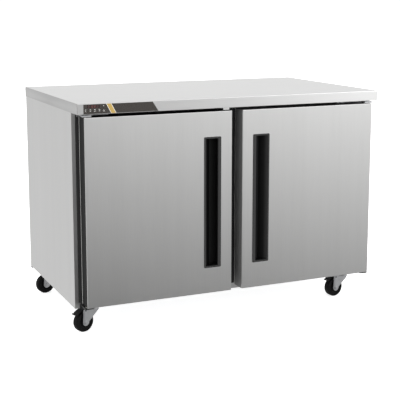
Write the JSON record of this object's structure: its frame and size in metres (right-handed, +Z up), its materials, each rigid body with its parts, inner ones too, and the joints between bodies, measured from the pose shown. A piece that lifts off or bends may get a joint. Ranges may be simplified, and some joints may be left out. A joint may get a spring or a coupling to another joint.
{
  "type": "undercounter refrigerator",
  "caption": "Low stainless undercounter refrigerator with side-by-side hinged doors, recessed vertical grips, a flat worktop, a control fascia and swivel casters.",
  "frame": {"origin": "on the floor, at the centre of the plan", "axes": "+X to the right seen from the front, +Y to the back, +Z up; the doors face -Y"},
  "size_m": [1.219, 0.72, 0.85],
  "materials": {
    "worktop_steel": "No. 4 brushed along X",
    "shell_steel": "No. 4 brushed upright",
    "door_steel": "No. 4 brushed upright",
    "galvanised": "galvanised, faint spangle",
    "foam": "rigid polyurethane foam",
    "liner": "satin anodised",
    "black_trim": "satin extruded",
    "zinc": "bright zinc plate",
    "white_panel": "fine texture",
    "gasket": "soft vinyl",
    "handle_plastic": "moulded satin",
    "nylon": "natural nylon",
    "coated_wire": "epoxy coated",
    "overlay": "printed polycarbonate",
    "board": "soldered board with a dark display",
    "button": "moulded satin",
    "fins": "bare fins",
    "fan_plastic": "moulded satin",
    "motor": "painted",
    "black_paint": "gloss enamel",
    "copper": "drawn copper tube",
    "rubber": "moulded rubber",
    "pedal": "moulded satin"
  },
  "bodies": {
    "cabinet": {"worktop": "worktop_steel", "side_panel_left": "shell_steel", "side_panel_right": "shell_steel", "back_panel": "galvanised", "base_pan": "galvanised", "front_sill": "shell_steel", "wall_foam": "foam", "interior_liner": "liner", "breaker_frame": "black_trim", "top_hinge_brackets": "zinc", "bottom_hinge_brackets": "zinc", "flange_screws": "zinc", "shelf_left": "coated_wire", "shelf_right": "coated_wire", "shelf_standards": "liner", "shelf_clips": "zinc", "control_overlay": "overlay", "control_board": "board", "evaporator_cover": "white_panel", "evaporator_coil": "fins", "fan_motors": "motor", "compressor": "black_paint", "condenser_coil": "fins", "refrigerant_lines": "copper", "condensate_pan": "fan_plastic", "electrical_box": "galvanised", "power_inlet": "handle_plastic", "rear_grille": "shell_steel", "rear_bumpers": "rubber", "caster_plates": "zinc"},
    "left_door": {"door_skin_left": "door_steel", "door_edge_trim_left": "black_trim", "door_foam_left": "foam", "door_inner_panel_left": "white_panel", "door_gasket_left": "gasket", "door_handle_left": "handle_plastic", "hinge_bushings_left": "nylon"},
    "right_door": {"door_skin_right": "door_steel", "door_edge_trim_right": "black_trim", "door_foam_right": "foam", "door_inner_panel_right": "white_panel", "door_gasket_right": "gasket", "door_handle_right": "handle_plastic", "hinge_bushings_right": "nylon"},
    "standby_button": {"button_standby": "button"},
    "down_button": {"button_down": "button"},
    "up_button": {"button_up": "button"},
    "set_button": {"button_set": "button"},
    "evaporator_fan": {"evaporator_fan": "fan_plastic"},
    "condenser_fan": {"condenser_fan": "fan_plastic"},
    "swivel_front_left": {"caster_fork_front_left": "zinc"},
    "wheel_front_left": {"caster_wheel_front_left": "rubber"},
    "swivel_front_right": {"caster_fork_front_right": "zinc"},
    "wheel_front_right": {"caster_wheel_front_right": "rubber"},
    "swivel_rear_left": {"caster_fork_rear_left": "zinc"},
    "wheel_rear_left": {"caster_wheel_rear_left": "rubber"},
    "swivel_rear_right": {"caster_fork_rear_right": "zinc"},
    "wheel_rear_right": {"caster_wheel_rear_right": "rubber"},
    "brake_left": {"brake_pedal_left": "pedal"},
    "brake_right": {"brake_pedal_right": "pedal"}
  },
  "joints": [
    {"name": "left_door_hinge", "type": "hinge", "parent": "cabinet", "child": "left_door", "pos_m": [-0.574, -0.336, 0.46], "axis": [0, 0, -1], "range_deg": [0, 120], "stiffness_Nm_per_rad": 1.5},
    {"name": "right_door_hinge", "type": "hinge", "parent": "cabinet", "child": "right_door", "pos_m": [0.574, -0.336, 0.46], "axis": [0, 0, 1], "range_deg": [0, 120], "stiffness_Nm_per_rad": 1.5},
    {"name": "standby_button_press", "type": "slide", "parent": "cabinet", "child": "standby_button", "axis": [0, 1, 0], "range_m": [0, 0.0008], "stiffness_N_per_m": 1500},
    {"name": "down_button_press", "type": "slide", "parent": "cabinet", "child": "down_button", "axis": [0, 1, 0], "range_m": [0, 0.0008], "stiffness_N_per_m": 1500},
    {"name": "up_button_press", "type": "slide", "parent": "cabinet", "child": "up_button", "axis": [0, 1, 0], "range_m": [0, 0.0008], "stiffness_N_per_m": 1500},
    {"name": "set_button_press", "type": "slide", "parent": "cabinet", "child": "set_button", "axis": [0, 1, 0], "range_m": [0, 0.0008], "stiffness_N_per_m": 1500},
    {"name": "evaporator_fan_spin", "type": "hinge", "parent": "cabinet", "child": "evaporator_fan", "pos_m": [0, 0.204, 0.668], "axis": [0, 1, 0], "continuous": true},
    {"name": "condenser_fan_spin", "type": "hinge", "parent": "cabinet", "child": "condenser_fan", "pos_m": [0.17, 0.268, 0.199], "axis": [0, 1, 0], "continuous": true},
    {"name": "caster_swivel_front_left", "type": "hinge", "parent": "cabinet", "child": "swivel_front_left", "pos_m": [-0.535, -0.231, 0.09], "axis": [0, 0, 1], "continuous": true},
    {"name": "wheel_roll_front_left", "type": "hinge", "parent": "swivel_front_left", "child": "wheel_front_left", "pos_m": [-0.56639, -0.2412, 0.038], "axis": [-0.309, 0.9511, 0], "continuous": true},
    {"name": "caster_swivel_front_right", "type": "hinge", "parent": "cabinet", "child": "swivel_front_right", "pos_m": [0.535, -0.231, 0.09], "axis": [0, 0, 1], "continuous": true},
    {"name": "wheel_roll_front_right", "type": "hinge", "parent": "swivel_front_right", "child": "wheel_front_right", "pos_m": [0.50232, -0.23559, 0.038], "axis": [-0.1392, 0.9903, 0], "continuous": true},
    {"name": "caster_swivel_rear_left", "type": "hinge", "parent": "cabinet", "child": "swivel_rear_left", "pos_m": [-0.535, 0.291, 0.09], "axis": [0, 0, 1], "continuous": true},
    {"name": "wheel_roll_rear_left", "type": "hinge", "parent": "swivel_rear_left", "child": "wheel_rear_left", "pos_m": [-0.5675, 0.28527, 0.038], "axis": [-0.1736, 0.9848, 0], "continuous": true},
    {"name": "caster_swivel_rear_right", "type": "hinge", "parent": "cabinet", "child": "swivel_rear_right", "pos_m": [0.535, 0.291, 0.09], "axis": [0, 0, 1], "continuous": true},
    {"name": "wheel_roll_rear_right", "type": "hinge", "parent": "swivel_rear_right", "child": "wheel_rear_right", "pos_m": [0.50213, 0.28812, 0.038], "axis": [-0.0872, 0.9962, 0], "continuous": true},
    {"name": "brake_pedal_press_left", "type": "hinge", "parent": "swivel_front_left", "child": "brake_left", "pos_m": [-0.56734, -0.24151, 0.0818], "axis": [0.309, -0.9511, 0], "range_deg": [0, 9]},
    {"name": "brake_pedal_press_right", "type": "hinge", "parent": "swivel_front_right", "child": "brake_right", "pos_m": [0.50133, -0.23573, 0.0818], "axis": [0.1392, -0.9903, 0], "range_deg": [0, 9]}
  ]
}
